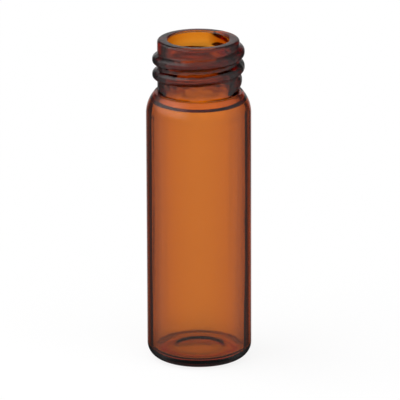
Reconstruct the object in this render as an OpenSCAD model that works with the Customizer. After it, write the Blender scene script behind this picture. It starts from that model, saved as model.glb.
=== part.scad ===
// Amber glass sample vial with a screw neck, drawn and tooled from one glass tube.
// Z is the axis of the tube, and the standing ring of the base lies on z = 0.

/* [Body] */
// Outside diameter of the body
body_d = 14.65; // [13.2:0.05:20]
// Height from the standing ring to the top of the rim
vial_h = 46.15; // [30:0.05:80]
// Thickness of the tube wall
wall_t = 0.9; // [0.7:0.05:1.3]
// Outer radius of the shoulder
shoulder_r = 4.5; // [3.4:0.1:5]
// Inner radius of the shoulder
shoulder_inner_r = 0.7; // [0.4:0.1:1.5]
// How much thinner than the wall the glass gets in the shoulder
shoulder_thin = 0.21; // [0:0.01:0.3]
// Width of the ledge between the inner shoulder and the roof of the cavity
ledge_w = 0.35; // [0.2:0.05:0.6]
// Slope of the ledge, in degrees
ledge_a = 10; // [0:1:20]
// Slope of the roof of the cavity, in degrees
roof_a = 42; // [30:1:48]

/* [Base] */
// Outer radius of the heel
heel_r = 2; // [1.4:0.1:2.4]
// Inner radius of the heel
heel_inner_r = 0.8; // [0.5:0.1:1.4]
// Height of the cavity's floor at the heel
base_t = 1.3; // [1:0.1:2]
// Rise of the push-up under the base
punt_h = 0.4; // [0.2:0.05:0.8]
// Width of the flat ring that the vial stands on
ring_w = 0.5; // [0.3:0.1:1]
// Rise of the floor inside the heel
floor_rise = 0.2; // [0.1:0.05:0.6]
// Depth of the dish in the middle of the floor
dish_h = 0.25; // [0.05:0.05:0.4]
// Diameter of the dish, half way up its edge
dish_d = 6.8; // [4:0.1:7.2]

/* [Neck] */
// Outside diameter of the neck between the turns of the thread
neck_d = 11.45; // [10:0.05:12]
// Length of the neck from the shoulder's upper edge to the rim
neck_l = 7.48; // [7.3:0.02:12]
// Bore of the neck
bore_d = 8.5; // [6.5:0.05:9]
// Radius of the rim's outer edge
rim_r = 0.4; // [0.2:0.05:0.6]
// Radius of the rim's inner edge
lip_r = 0.3; // [0.2:0.05:0.6]
// Width of the groove round the foot of the neck
groove_w = 0.36; // [0.2:0.02:0.4]
// Radius of the groove's section
groove_r = 0.22; // [0.21:0.01:0.4]
// Fillet between the bore and the roof of the cavity, and between the roof and the ledge
throat_r = 0.6; // [0.1:0.1:1]

/* [Thread] */
// Height of the thread over the neck
thread_h = 0.705; // [0.4:0.005:0.8]
// Rise of the thread in one turn
thread_pitch = 2.117; // [1.9:0.001:2.3]
// Width of the thread at its foot
thread_w = 1.56; // [1:0.02:1.8]
// Turns from the first trace of the thread to the last
thread_turns = 2.335; // [1:0.005:2.4]
// Depth under the rim at which the thread fades out
thread_drop = 1.42; // [1.3:0.02:2]
// Direction in which the thread fades out, in degrees from +X
thread_end_a = 75; // [0:1:359]
// Stretch over which the thread grows at its lower end, in degrees
thread_lead_in = 100; // [40:5:160]
// Stretch over which the thread fades at its upper end, in degrees
thread_lead_out = 24; // [15:1:60]

/* [Hidden] */
$fn = 96;
// How far a cut reaches beyond the glass
clear = 1;

body_r = body_d / 2;
cavity_r = body_r - wall_t;
neck_r = neck_d / 2;
bore_r = bore_d / 2;
neck_foot_z = vial_h - neck_l;

// The shoulder's arc touches the wall and ends at the groove, at the height of the neck's foot.
shoulder_run = neck_r + groove_w - (body_r - shoulder_r);
shoulder_c = [body_r - shoulder_r, neck_foot_z - sqrt(pow(shoulder_r, 2) - pow(shoulder_run, 2))];

// The groove is an arc through the neck's foot and the shoulder's edge.
groove_c = [neck_r + groove_w / 2, neck_foot_z + sqrt(pow(groove_r, 2) - pow(groove_w / 2, 2))];

// The inner shoulder's arc touches the cavity's wall and comes shoulder_thin nearer to the
// outer arc than the wall is.
shoulder_gap = shoulder_r - wall_t - shoulder_inner_r;
shoulder_inner_c = [cavity_r - shoulder_inner_r,
    shoulder_c.y + sqrt(pow(shoulder_gap + shoulder_thin, 2) - pow(shoulder_gap, 2))];

// A narrow ledge touches the inner shoulder's arc, and the roof rises from it to the bore.
ledge_start = shoulder_inner_c + shoulder_inner_r * [sin(ledge_a), cos(ledge_a)];
ledge_end = ledge_start + ledge_w * [-cos(ledge_a), sin(ledge_a)];
throat = [bore_r, ledge_end.y + (ledge_end.x - bore_r) * tan(roof_a)];

// The push-up is a shallow dome inside the standing ring.
punt_w = body_r - heel_r - ring_w;
punt_dome_r = (pow(punt_w, 2) + pow(punt_h, 2)) / (2 * punt_h);
dome_fn = 360;

// The floor rises inside the heel and falls again into the dish, both along a smooth step.
floor_slope = 1.2;
dish_slope = 0.7;
floor_steps = 28;
floor_edge_r = cavity_r - heel_inner_r - floor_slope / 2;
function smooth(t) = let (c = min(1, max(0, t))) c * c * (3 - 2 * c);
function floor_z(r) = base_t + floor_rise * smooth((floor_edge_r - r) / floor_slope + 0.5)
                             - dish_h * smooth((dish_d / 2 - r) / dish_slope + 0.5);

// What is cut off a corner to round it: a kite from beyond the corner to the centre of the disc
// of radius r that touches both sides, less that disc
module corner_part(before, corner, after, r) {
    u = (before - corner) / norm(before - corner);
    v = (after - corner) / norm(after - corner);
    inward = (u + v) / norm(u + v);
    half = acos(u * v) / 2;
    centre = corner + inward * r / sin(half);
    reach = r / tan(half);
    difference() {
        polygon([corner - clear * inward, corner + reach * u, centre, corner + reach * v]);
        translate(centre) circle(r);
    }
}

// Half section of the cavity under its roof
module cavity_section() {
    floor_line = [for (i = [0:floor_steps])
        let (r = (floor_edge_r + floor_slope / 2) * i / floor_steps) [r, floor_z(r)]];
    heel_corner = [cavity_r, base_t];
    wall_end = [cavity_r, shoulder_inner_c.y];
    difference() {
        polygon(concat(floor_line,
            [heel_corner, wall_end, ledge_start, ledge_end, throat, [0, throat.y]]));
        corner_part([0, base_t], heel_corner, wall_end, heel_inner_r);
    }
    translate(shoulder_inner_c) circle(shoulder_inner_r);
}

// Half section of the glass: a blank as wide as the body and as high as the vial, less all that
// lies outside the heel, the shoulder, the neck and the rim, the push-up and the cavity
module glass_section() {
    clear_r = body_r + clear;
    difference() {
        square([body_r, vial_h]);
        corner_part([0, 0], [body_r, 0], [body_r, vial_h], heel_r);
        difference() {
            polygon([shoulder_c, [clear_r, shoulder_c.y], [clear_r, neck_foot_z],
                     [neck_r + groove_w, neck_foot_z]]);
            translate(shoulder_c) circle(shoulder_r);
        }
        translate([neck_r, neck_foot_z]) square([clear_r - neck_r, neck_l + clear]);
        intersection() {
            translate(groove_c) circle(groove_r);
            translate([neck_r, neck_foot_z - groove_r]) square([groove_w, groove_r]);
        }
        corner_part([bore_r, vial_h], [neck_r, vial_h], [neck_r, neck_foot_z], rim_r);
        corner_part([neck_r, vial_h], [bore_r, vial_h], throat, lip_r);
        translate([0, punt_h - punt_dome_r]) circle(punt_dome_r, $fn = dome_fn);
        translate([0, throat.y]) square([bore_r, vial_h + clear - throat.y]);
        corner_part([bore_r, vial_h], throat, ledge_end, throat_r);
        corner_part(throat, ledge_end, ledge_start, throat_r);
        cavity_section();
    }
}

// The thread is a bead swept along a helix. Across its foot, u runs from -1 to 1, and the
// bead stands 1 - |u|^bead_power of its height. It swells from nothing at its lower end and
// fades at its upper end, and its root is buried in the wall of the neck.
bead_power = 2.8;
bead_steps = 8;
turn_steps = 40;
root_depth = 0.35;
skin_depth = 0.1;
thread_start_a = thread_end_a - 360 * thread_turns;
thread_end_z = vial_h - thread_drop;

function swell(a) = min(smooth((a - thread_start_a) / thread_lead_in),
                        smooth((thread_end_a - a) / thread_lead_out));
function helix_point(r, a, u) =
    [r * cos(a), r * sin(a), thread_end_z - thread_pitch * (thread_end_a - a) / 360 + u * thread_w / 2];
function bead_r(a, u) =
    neck_r - skin_depth + (thread_h + skin_depth) * swell(a) * (1 - pow(abs(u), bead_power));
function bead_ring(a) = concat(
    [helix_point(neck_r - root_depth, a, -1)],
    [for (k = [0:bead_steps]) let (u = -1 + 2 * k / bead_steps) helix_point(bead_r(a, u), a, u)],
    [helix_point(neck_r - root_depth, a, 1)]);

module thread() {
    steps = ceil(turn_steps * thread_turns);
    ring = bead_steps + 3;
    points = [for (i = [0:steps])
        each bead_ring(thread_start_a + (thread_end_a - thread_start_a) * i / steps)];
    sides = [for (i = [0:steps - 1], k = [0:ring - 1])
        let (p = i * ring + k, q = i * ring + (k + 1) % ring)
        each [[p, q, p + ring], [q, q + ring, p + ring]]];
    ends = [[for (k = [ring - 1:-1:0]) k], [for (k = [0:ring - 1]) steps * ring + k]];
    polyhedron(points, concat(sides, ends), convexity = 6);
}

module glass_vial() {
    color([0.72, 0.36, 0.12, 0.8]) {
        rotate_extrude() glass_section();
        thread();
    }
}

glass_vial();
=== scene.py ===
import math

import bpy
import numpy as np
from mathutils import Matrix, Vector


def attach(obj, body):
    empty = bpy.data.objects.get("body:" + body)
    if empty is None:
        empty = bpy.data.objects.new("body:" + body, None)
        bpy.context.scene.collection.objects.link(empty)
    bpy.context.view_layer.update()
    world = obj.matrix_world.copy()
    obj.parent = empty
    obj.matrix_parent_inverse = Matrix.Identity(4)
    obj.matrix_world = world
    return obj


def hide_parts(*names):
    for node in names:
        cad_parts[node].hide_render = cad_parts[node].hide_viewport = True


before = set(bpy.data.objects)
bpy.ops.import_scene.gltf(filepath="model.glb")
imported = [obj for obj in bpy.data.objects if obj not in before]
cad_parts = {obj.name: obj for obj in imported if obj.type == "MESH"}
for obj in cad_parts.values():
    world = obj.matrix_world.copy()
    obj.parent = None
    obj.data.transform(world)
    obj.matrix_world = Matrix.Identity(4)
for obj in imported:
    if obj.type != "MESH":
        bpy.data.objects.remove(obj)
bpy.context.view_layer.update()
mm = 0.001


# One socket of a shader tree, with arithmetic that makes maths nodes.
class Socket:
    def __init__(self, shader, out):
        self.shader = shader
        self.out = out

    def maths(self, operation, first, second):
        return self.shader.node("ShaderNodeMath", {"operation": operation}, {0: first, 1: second})

    def __add__(self, other):
        return self.maths("ADD", self, other)

    def __radd__(self, other):
        return self.maths("ADD", other, self)

    def __sub__(self, other):
        return self.maths("SUBTRACT", self, other)

    def __rsub__(self, other):
        return self.maths("SUBTRACT", other, self)

    def __mul__(self, other):
        return self.maths("MULTIPLY", self, other)

    def __rmul__(self, other):
        return self.maths("MULTIPLY", other, self)

    def __truediv__(self, other):
        return self.maths("DIVIDE", self, other)

    def __rtruediv__(self, other):
        return self.maths("DIVIDE", other, self)


# A node tree, emptied, with one call that adds a node, sets it and links what is a socket.
class Shader:
    def __init__(self, tree):
        self.tree = tree
        tree.nodes.clear()

    def node(self, kind, settings={}, inputs={}, output=0):
        made = self.tree.nodes.new(kind)
        for name, value in settings.items():
            setattr(made, name, value)
        for name, value in inputs.items():
            if isinstance(value, Socket):
                self.tree.links.new(value.out, made.inputs[name])
            else:
                made.inputs[name].default_value = value
        return Socket(self, made.outputs[output]) if len(made.outputs) else made

    # 0 below low, 1 above high, t * t * (3 - 2 t) between them
    def step(self, value, low, high):
        return self.node("ShaderNodeMapRange", {"interpolation_type": "SMOOTHSTEP"},
                         {"Value": value, "From Min": low, "From Max": high})

    # exp(-(value / width)^2 / 2)
    def bell(self, value, width):
        part = value / width
        return self.node("ShaderNodeMath", {"operation": "EXPONENT"}, {0: part * part * -0.5})


# Lengths are in millimetres and angles in degrees. mergeGap is the distance under which two points of
# the half section count as one, points is how many each stretch of it gets, and columns is how many
# go round the axis.
vial = {
    "bodyRadius": 7.325, "height": 46.15, "wall": 0.85,
    "shoulderRadius": 4.5, "foldAngle": 30.0, "foldWidth": 10.0, "foldStep": 0.32,
    "heelRadius": 2.0, "innerHeelRadius": 0.8, "ringWidth": 0.5, "puntRise": 0.4,
    "baseThickness": 1.3, "floorRise": 0.2, "floorSlope": 1.2,
    "dishDepth": 0.25, "dishRadius": 3.4, "dishSlope": 0.7,
    "neckRadius": 5.725, "neckLength": 7.48,
    "boreRadius": 4.25, "boreRelief": 0.35, "reliefLength": 2.6, "throatFillet": 0.6,
    "rimRadius": 0.4, "lipRadius": 0.3, "grooveWidth": 0.36, "grooveRadius": 0.22,
    "threadRadius": 6.43, "pitch": 2.117, "threadWidth": 1.7, "beadPower": 2.8,
    "threadStart": -765.6, "threadEnd": 75.0, "threadDrop": 1.36, "leadIn": 100.0, "leadOut": 24.0,
    "mergeGap": 1e-6, "columns": 272,
    "points": {"dome": 20, "heel": 20, "wall": 8, "shoulder": 24, "groove": 11, "neck": 96, "rim": 10,
               "lip": 9, "bore": 26, "throat": 12, "innerShoulder": 60, "innerHeel": 14, "floor": 44},
}


# t * t * (3 - 2 t), held at 0 and 1 outside
def smoothStep(t):
    t = np.clip(t, 0, 1)
    return t * t * (3 - 2 * t)


# Points on a circle: centre + radius * (cos a, sin a) for count angles from start to end.
def arcPoints(centre, radius, start, end, count):
    a = np.radians(np.linspace(start, end, count))
    return np.stack([centre[0] + radius * np.cos(a), centre[1] + radius * np.sin(a)], 1)


# Points of a straight run from one point to another, without its ends.
def runPoints(start, end, count):
    t = np.linspace(0, 1, count + 2)[1:-1, None]
    return np.asarray(start) * (1 - t) + np.asarray(end) * t


# Centre of the shoulder's outer arc, which touches the wall and ends at the groove round the neck:
# its height is foot - sqrt(radius^2 - run^2), where run is how far the groove lies out from it.
def shoulderCentre(v):
    cx = v["bodyRadius"] - v["shoulderRadius"]
    run = v["neckRadius"] + v["grooveWidth"] - cx
    return cx, v["height"] - v["neckLength"] - math.sqrt(v["shoulderRadius"] ** 2 - run ** 2)


# Outer outline from the base ring to the rim. The groove is an arc through the neck's foot and the
# shoulder's edge, which lie at one height.
def outerLine(v):
    count = v["points"]
    foot = v["height"] - v["neckLength"]
    heel, shoulder, groove = v["heelRadius"], v["shoulderRadius"], v["grooveRadius"]
    cx, cz = shoulderCentre(v)
    run = v["neckRadius"] + v["grooveWidth"] - cx
    slope = math.degrees(math.acos(run / shoulder))
    half = v["grooveWidth"] / 2
    grooveZ = foot + math.sqrt(groove ** 2 - half ** 2)
    dip = math.degrees(math.asin(half / groove))
    rimZ = v["height"] - v["rimRadius"]
    return [
        arcPoints((v["bodyRadius"] - heel, heel), heel, -90, 0, count["heel"]),
        runPoints((v["bodyRadius"], heel), (v["bodyRadius"], cz), count["wall"]),
        arcPoints((cx, cz), shoulder, 0, slope, count["shoulder"]),
        arcPoints((v["neckRadius"] + half, grooveZ), groove, dip - 90, -90 - dip, count["groove"])[1:],
        runPoints((v["neckRadius"], foot), (v["neckRadius"], rimZ), count["neck"]),
        arcPoints((v["neckRadius"] - v["rimRadius"], rimZ), v["rimRadius"], 0, 90, count["rim"]),
    ]


# Inner outline from the rim down the bore, the throat's fillet, the inner shoulder, the wall and the
# inner heel to the floor. Round the shoulder's centre the cavity reaches to the outer arc's radius
# less the wall, less a smooth step at foldAngle, above which the glass is foldStep thicker. The
# bore widens by boreRelief under the lip, and the fillet touches the bore and the shoulder's arc.
def innerLine(v):
    count = v["points"]
    cavity = v["bodyRadius"] - v["wall"]
    lipZ = v["height"] - v["lipRadius"]
    cx, cz = shoulderCentre(v)
    bore, throat = v["boreRadius"] + v["boreRelief"], v["throatFillet"]
    roof = v["shoulderRadius"] - v["wall"] - v["foldStep"]
    out = bore + throat - cx
    throatZ = cz + math.sqrt((roof + throat) ** 2 - out ** 2)
    turn = math.degrees(math.acos(out / (roof + throat)))
    a = np.linspace(turn, 0, count["innerShoulder"])
    fold = v["foldStep"] * smoothStep((a - v["foldAngle"]) / v["foldWidth"] + 0.5)
    reach = v["shoulderRadius"] - v["wall"] - fold
    shoulder = np.stack([cx + reach * np.cos(np.radians(a)), cz + reach * np.sin(np.radians(a))], 1)
    z = np.linspace(lipZ, throatZ, count["bore"])[1:-1]
    r = v["boreRadius"] + v["boreRelief"] * smoothStep((lipZ - z) / v["reliefLength"])
    floorZ = v["baseThickness"] + v["innerHeelRadius"]
    return [
        arcPoints((v["boreRadius"] + v["lipRadius"], lipZ), v["lipRadius"], 90, 180, count["lip"]),
        np.stack([r, z], 1),
        arcPoints((bore + throat, throatZ), throat, 180, 180 + turn, count["throat"]),
        shoulder,
        runPoints((cavity, cz), (cavity, floorZ), count["wall"]),
        arcPoints((cavity - v["innerHeelRadius"], floorZ), v["innerHeelRadius"], 0, -90,
                  count["innerHeel"]),
    ]


# A shallow dome from the middle out to width: base + rise - (b - sqrt(b^2 - r^2)), where
# b = (width^2 + rise^2) / (2 rise).
def domePoints(width, base, rise, count):
    r = np.linspace(0, width, count)
    b = (width ** 2 + rise ** 2) / (2 * rise)
    return np.stack([r, base + rise - (b - np.sqrt(b ** 2 - r ** 2))], 1)


# The cavity's floor from the heel to the middle: it rises along a smooth step next to the heel and
# falls along another into the dish.
def floorPoints(v):
    edge = v["bodyRadius"] - v["wall"] - v["innerHeelRadius"]
    r = np.linspace(edge, 0, v["points"]["floor"])
    rise = (v["floorRise"] * smoothStep((edge - r) / v["floorSlope"])
            - v["dishDepth"] * smoothStep((v["dishRadius"] - r) / v["dishSlope"] + 0.5))
    return np.stack([r, v["baseThickness"] + rise], 1)


# Closed half section as rows of (radius, height), and how many rows the outside has.
def glassProfile(v):
    punt = v["bodyRadius"] - v["heelRadius"] - v["ringWidth"]
    dome = domePoints(punt, 0, v["puntRise"], v["points"]["dome"])
    outer = np.concatenate([dome, *outerLine(v)])
    line = np.concatenate([outer, *innerLine(v), floorPoints(v)])
    keep = np.concatenate([[True], np.hypot(*np.diff(line, axis=0).T) > v["mergeGap"]])
    return line[keep], int(keep[:len(outer)].sum())


# Height of the thread over the neck. A turn's middle climbs one pitch in 360 degrees, across it the
# bead is crest * (1 - |u|^power) with u the distance in half widths, and the ends swell and fade.
def threadRise(v, turn, z):
    rise = np.zeros(np.broadcast(turn, z).shape)
    crest = v["threadRadius"] - v["neckRadius"]
    top = v["height"] - v["threadDrop"]
    for lap in range(math.floor(v["threadStart"] / 360), math.ceil(v["threadEnd"] / 360)):
        a = turn + 360 * lap
        swell = np.minimum(smoothStep((a - v["threadStart"]) / v["leadIn"]),
                           smoothStep((v["threadEnd"] - a) / v["leadOut"]))
        ridge = top - v["pitch"] * (v["threadEnd"] - a) / 360
        u = np.abs(z - ridge) / (v["threadWidth"] / 2)
        rise = np.maximum(rise, crest * swell * np.clip(1 - u ** v["beadPower"], 0, None))
    return rise


# Closed surface round Z: each row of the line at every angle, with push added to its radius, and one
# point at each pole with a fan of triangles.
def revolvedMesh(name, line, columns, push):
    angle = np.arange(columns) * 360 / columns
    rows = line[1:-1]
    radius = rows[:, :1] + push(angle[None, :], rows[:, 1:])
    a = np.radians(angle)[None, :]
    height = np.broadcast_to(rows[:, 1:], radius.shape)
    grid = np.stack([radius * np.cos(a), radius * np.sin(a), height], 2).reshape(-1, 3)
    points = np.concatenate([[[0, 0, line[0, 1]]], grid, [[0, 0, line[-1, 1]]]]) * mm
    index = 1 + np.arange(len(rows) * columns).reshape(len(rows), columns)
    right = np.roll(index, -1, axis=1)
    quads = np.stack([index[:-1], right[:-1], right[1:], index[1:]], 2).reshape(-1, 4)
    bottom = np.stack([np.zeros(columns, int), right[0], index[0]], 1)
    lid = np.stack([index[-1], right[-1], np.full(columns, len(points) - 1)], 1)
    loops = np.concatenate([quads.ravel(), bottom.ravel(), lid.ravel()])
    totals = np.concatenate([np.full(len(quads), 4), np.full(len(bottom) + len(lid), 3)])
    mesh = bpy.data.meshes.new(name)
    mesh.vertices.add(len(points))
    mesh.vertices.foreach_set("co", points.astype(np.float32).ravel())
    mesh.loops.add(len(loops))
    mesh.loops.foreach_set("vertex_index", loops.astype(np.int32))
    mesh.polygons.add(len(totals))
    mesh.polygons.foreach_set("loop_start", (np.cumsum(totals) - totals).astype(np.int32))
    mesh.polygons.foreach_set("loop_total", totals.astype(np.int32))
    mesh.update(calc_edges=True)
    mesh.validate()
    mesh.shade_smooth()
    made = bpy.data.objects.new(name, mesh)
    bpy.context.scene.collection.objects.link(made)
    return made


profile, outerRows = glassProfile(vial)
outside = (np.arange(len(profile)) < outerRows)[1:-1, None]
glass = revolvedMesh("vial_glass", profile, vial["columns"],
                     lambda turn, z: threadRise(vial, turn, z) * outside)
print("glass", len(glass.data.polygons), "faces")

# loss is the light lost per metre in red, green and blue. From pressedLow to pressedHigh the neck is
# rippled and darkened by painted shade with random smears in it, and it stays rough up to the rim.
# Tones are shares of clear, and sizes, heights and rises are in millimetres. densityMargin keeps the
# volume's colour above black.
glassLook = {
    "ior": 1.5, "loss": (252.0, 1055.0, 2980.0), "densityMargin": 1.02,
    "pressedLow": 38.4, "pressedHigh": 44.8, "pressedSoft": 1.2,
    "bodyRoughness": 0.0, "pressedRoughness": 0.12, "neckShadeTone": 0.62, "smearShadeTone": 0.4,
    "smearSize": 2.5, "smearHeight": 0.7, "smearDetail": 3.0,
    "streakSize": 1.2, "streakLength": 30.0, "streakDetail": 2.0, "streakRise": 0.03,
    "rippleSize": 1.6, "rippleDetail": 1.0, "rippleRise": 0.2,
}


# Clear glass surface, with painted shade in its colour on the neck, round a volume that takes away
# density * (1 - colour) per metre.
def amberGlass(look):
    material = bpy.data.materials.new("amber_glass")
    material.use_nodes = True
    s = Shader(material.node_tree)
    place = s.node("ShaderNodeTexCoord", {}, {}, "Object")
    z = s.node("ShaderNodeSeparateXYZ", {}, {"Vector": place}, "Z") / mm
    soft = look["pressedSoft"]
    tooled = s.step(z, look["pressedLow"], look["pressedLow"] + soft)
    # The zone of the neck's ripple and of its painted shade.
    rippleAndShadeZone = tooled * (1 - s.step(z, look["pressedHigh"] - soft, look["pressedHigh"]))

    def noise(across, along, detail):
        scaled = s.node("ShaderNodeMapping", {}, {
            "Vector": place, "Scale": (1 / across / mm, 1 / across / mm, 1 / along / mm)}, "Vector")
        return s.node("ShaderNodeTexNoise", {}, {"Vector": scaled, "Scale": 1.0, "Detail": detail})

    streak = noise(look["streakSize"], look["streakLength"], look["streakDetail"])
    ripple = noise(look["rippleSize"], look["rippleSize"], look["rippleDetail"])
    smear = noise(look["smearSize"], look["smearHeight"], look["smearDetail"])
    height = streak * look["streakRise"] + ripple * rippleAndShadeZone * look["rippleRise"]
    bump = s.node("ShaderNodeBump", {}, {"Height": height, "Distance": mm, "Strength": 1.0}, "Normal")
    rough = look["bodyRoughness"] + tooled * look["pressedRoughness"]
    # Painted shade: between the neck's limits the colour is darkened, with random smears in the
    # darkening.
    paintedShadeTone = 1 - rippleAndShadeZone * (1 - look["neckShadeTone"] - look["smearShadeTone"] * (smear - 0.5))
    colour = s.node("ShaderNodeCombineColor", {}, {"Red": paintedShadeTone, "Green": paintedShadeTone, "Blue": paintedShadeTone})
    surface = s.node("ShaderNodeBsdfPrincipled", {}, {
        "Base Color": colour, "Transmission Weight": 1.0,
        "Roughness": rough, "IOR": look["ior"], "Normal": bump})
    density = max(look["loss"]) * look["densityMargin"]
    tint = [1 - k / density for k in look["loss"]]
    volume = s.node("ShaderNodeVolumeAbsorption", {}, {"Color": (*tint, 1), "Density": density})
    s.node("ShaderNodeOutputMaterial", {}, {"Surface": surface, "Volume": volume})
    return material


glass.data.materials.append(amberGlass(glassLook))
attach(glass, "root")
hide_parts("glass_vial")

# Levels are 1 for white. Lows, highs and deep limits are sines of elevation, bearings are degrees from
# +Y, and the other limits are parts of the direction along x or y. Between two limits a level changes
# smoothly. spread is the level for light that lands on the floor. lit is the band that is seen
# through glass, between litBelow and litAbove: it fades sideways to fallFloor and downwards to
# slopeFloor, and steeper down than deep it is litDeep. window is the patch behind that is mirrored
# inside the glass, and inner the room round it. outer is the room that is mirrored outside: edgeLevel
# straight behind, topLevel at the upper left and outerDeep steeply below.
studio = {
    "spread": 0.4,
    "litLow": -0.42, "litHigh": -0.07, "litSoft": 0.08, "litBelow": 0.3, "litAbove": 0.05,
    "litDeep": 1.0, "deepFrom": -0.65, "deepTo": -0.85,
    "fallSpread": 5.0, "fallFloor": 0.75, "slopeLow": -0.35, "slopeHigh": -0.25, "slopeFloor": 0.85,
    "windowBearing": 2.5, "windowSpread": 12.5,
    "windowLow": -0.6, "windowHigh": 0.6, "windowSoft": 0.2, "windowLevel": 1.0,
    "innerSide": 0.02, "innerFront": 0.2, "innerFrom": 0.5, "innerTo": -0.5,
    "outerBack": 0.05, "outerFront": 0.66, "outerFrom": 0.85, "outerTo": -0.1,
    "edgeLevel": 0.5, "edgeFrom": 0.82, "outerDeep": 0.2,
    "topLevel": 1.7, "topLow": 0.0, "topHigh": 0.3, "topRight": -0.2, "topLeft": -0.7,
    "topBack": 0.9, "topFront": -0.2,
}


# The world by direction and by what the ray met: white when it is seen straight, the lit band of
# elevations when it is seen through glass, the window and the inner room when it is mirrored inside
# the glass, and the outer room when it is mirrored outside.
def studioWorld(v):
    world = bpy.data.worlds.new("studio")
    bpy.context.scene.world = world
    world.use_nodes = True
    s = Shader(world.node_tree)
    way = s.node("ShaderNodeTexCoord", {}, {}, "Generated")
    x, y, z = [s.node("ShaderNodeSeparateXYZ", {}, {"Vector": way}, axis) for axis in "XYZ"]
    bearing = s.node("ShaderNodeMath", {"operation": "ARCTAN2"}, {0: x, 1: y}) / math.radians(1)

    def band(low, high, soft):
        return s.step(z, low - soft, low) * (1 - s.step(z, high, high + soft))

    def between(low, high, part):
        return low + (high - low) * part

    lit = (between(v["litBelow"], 1.0, s.step(z, v["litLow"] - v["litSoft"], v["litLow"]))
           * between(1.0, v["litAbove"], s.step(z, v["litHigh"], v["litHigh"] + v["litSoft"])))
    fall = between(v["fallFloor"], 1.0, s.bell(bearing, v["fallSpread"]))
    slope = between(v["slopeFloor"], 1.0, s.step(z, v["slopeLow"], v["slopeHigh"]))
    deep = s.step(z, v["deepFrom"], v["deepTo"])
    through = between(lit * fall * slope, v["litDeep"], deep)
    window = (s.bell(bearing - v["windowBearing"], v["windowSpread"])
              * band(v["windowLow"], v["windowHigh"], v["windowSoft"]))
    front = s.step(y, v["innerFrom"], v["innerTo"])
    top = (s.step(z, v["topLow"], v["topHigh"]) * s.step(x, v["topRight"], v["topLeft"])
           * s.step(y, v["topBack"], v["topFront"]))
    inner = between(v["innerSide"], v["innerFront"], front)
    inner = between(inner, v["windowLevel"], window)
    outer = between(v["outerBack"], v["outerFront"], s.step(y, v["outerFrom"], v["outerTo"]))
    outer = between(outer, v["edgeLevel"], s.step(y, v["edgeFrom"], 1.0))
    outer = between(outer, v["outerDeep"], deep)
    outer = between(outer, v["topLevel"], top)

    def once(depth):
        count = s.node("ShaderNodeLightPath", {}, {}, depth)
        return s.node("ShaderNodeMath", {"operation": "MINIMUM"}, {0: count, 1: 1.0})

    inside = once("Transmission Depth")
    straight = between(v["spread"], 1.0, s.node("ShaderNodeLightPath", {}, {}, "Is Camera Ray"))
    seen = between(straight, through, inside)
    level = between(seen, between(outer, inner, inside), once("Glossy Depth"))
    background = s.node("ShaderNodeBackground", {}, {"Color": (1, 1, 1, 1), "Strength": level})
    s.node("ShaderNodeOutputWorld", {}, {"Surface": background})


# size is in metres, drop and the spreads are in millimetres. A share of the floor's white is light
# that falls on it, which is what the object shades.
ground = {
    "size": 4.0, "drop": 0.02, "share": 0.15, "shareSpread": 45.0,
    "shade": 0.6, "shadeSpread": 9.0,
}


# Flat floor just under the object. Seen straight it is white with a soft shadow; seen through glass
# or in it, it lets the world through, dimmed by a painted shadow round the object's foot,
# shade * exp(-(distance / spread)^2 / 2).
def floorPlane(v):
    half = v["size"] / 2
    mesh = bpy.data.meshes.new("floor")
    corners = [(-half, -half), (half, -half), (half, half), (-half, half)]
    mesh.from_pydata([(x, y, -v["drop"] * mm) for x, y in corners], [], [(0, 1, 2, 3)])
    floor = bpy.data.objects.new("floor", mesh)
    bpy.context.scene.collection.objects.link(floor)
    material = bpy.data.materials.new("floor")
    material.use_nodes = True
    s = Shader(material.node_tree)
    place = s.node("ShaderNodeTexCoord", {}, {}, "Object")
    reach = s.node("ShaderNodeVectorMath", {"operation": "LENGTH"}, {0: place}, "Value")
    # Painted shadow round the object's foot, for rays that come through the glass.
    shade = s.bell(reach, v["shadeSpread"] * mm) * v["shade"]
    lit = s.node("ShaderNodeBsdfDiffuse", {}, {"Color": (1, 1, 1, 1)})
    glow = s.node("ShaderNodeEmission", {}, {"Color": (1, 1, 1, 1), "Strength": 1.0})
    dark = s.node("ShaderNodeEmission", {}, {"Color": (0, 0, 0, 1), "Strength": 0.0})
    clear = s.node("ShaderNodeBsdfTransparent")
    share = s.bell(reach, v["shareSpread"] * mm) * v["share"]
    seen = s.node("ShaderNodeMixShader", {}, {0: share, 1: glow, 2: lit})
    through = s.node("ShaderNodeMixShader", {}, {0: shade, 1: clear, 2: dark})
    straight = s.node("ShaderNodeLightPath", {}, {}, "Is Camera Ray")
    s.node("ShaderNodeOutputMaterial", {}, {
        "Surface": s.node("ShaderNodeMixShader", {}, {0: straight, 1: through, 2: seen})})
    mesh.materials.append(material)


# Angles are in degrees, distance and size in metres, and level is 1 for a lamp that looks white.
lamps = {
    "left": {"bearing": -100.0, "elevation": 40.0, "distance": 0.6, "size": 0.9, "level": 1.6},
    "right": {"bearing": 145.0, "elevation": 40.0, "distance": 0.6, "size": 0.7, "level": 1.2},
}


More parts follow.
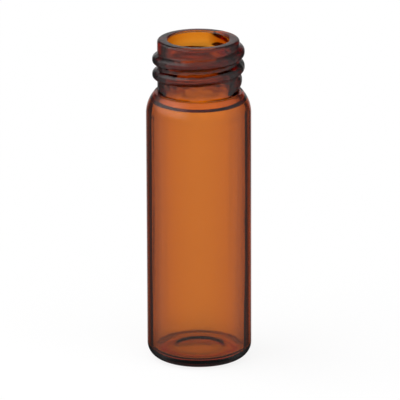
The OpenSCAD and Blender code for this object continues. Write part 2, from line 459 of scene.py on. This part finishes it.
# Square lamp facing the object; its power is level * pi * size^2.
def softLamp(name, v):
    data = bpy.data.lights.new("lamp_" + name, "AREA")
    data.size = v["size"]
    data.energy = v["level"] * math.pi * v["size"] ** 2
    lamp = bpy.data.objects.new("lamp_" + name, data)
    a, b = math.radians(v["bearing"]), math.radians(v["elevation"])
    out = Vector((math.sin(a) * math.cos(b), math.cos(a) * math.cos(b), math.sin(b)))
    lamp.location = out * v["distance"] + Vector((0, 0, vial["height"] / 2 * mm))
    lamp.rotation_euler = out.to_track_quat("Z", "Y").to_euler()
    lamp.visible_glossy = False
    bpy.context.scene.collection.objects.link(lamp)


studioWorld(studio)
print("world", studio["litLow"], "to", studio["litHigh"], "lit")
floorPlane(ground)
print("floor", ground["size"], "m")
for name, values in lamps.items():
    softLamp(name, values)
    print("lamp", name, values["level"])
bpy.context.scene.view_settings.view_transform = "Standard"

# angles in degrees, lens and sensor in millimetres, the rest in metres
eye = {
    "elevation": 17.2, "roll": 0.2, "lens": 443.9, "sensor": 36,
    "distance": 0.690, "aim": (0.0, 0.0, 0.023), "right": 0.000151, "down": 0.000226,
    "near": 0.01, "far": 20,
}


# Camera on the front side, raised by the elevation, looking at the aim moved right and down.
def placeCamera(e):
    tilt = math.radians(e["elevation"])
    back = Vector((0, -math.cos(tilt), math.sin(tilt)))
    side = Vector((1, 0, 0))
    up = back.cross(side)
    middle = Vector(e["aim"])
    place = middle + back * e["distance"]
    look = (middle + side * e["right"] - up * e["down"] - place).normalized()
    data = bpy.data.cameras.new("camera")
    data.lens = e["lens"]
    data.sensor_width = e["sensor"]
    data.clip_start = e["near"]
    data.clip_end = e["far"]
    camera = bpy.data.objects.new("camera", data)
    bpy.context.scene.collection.objects.link(camera)
    turn = look.to_track_quat("-Z", "Y").to_matrix() @ Matrix.Rotation(math.radians(-e["roll"]), 3, "Z")
    camera.matrix_world = Matrix.Translation(place) @ turn.to_4x4()
    bpy.context.scene.camera = camera


placeCamera(eye)
print("camera", eye["elevation"], "degrees up")
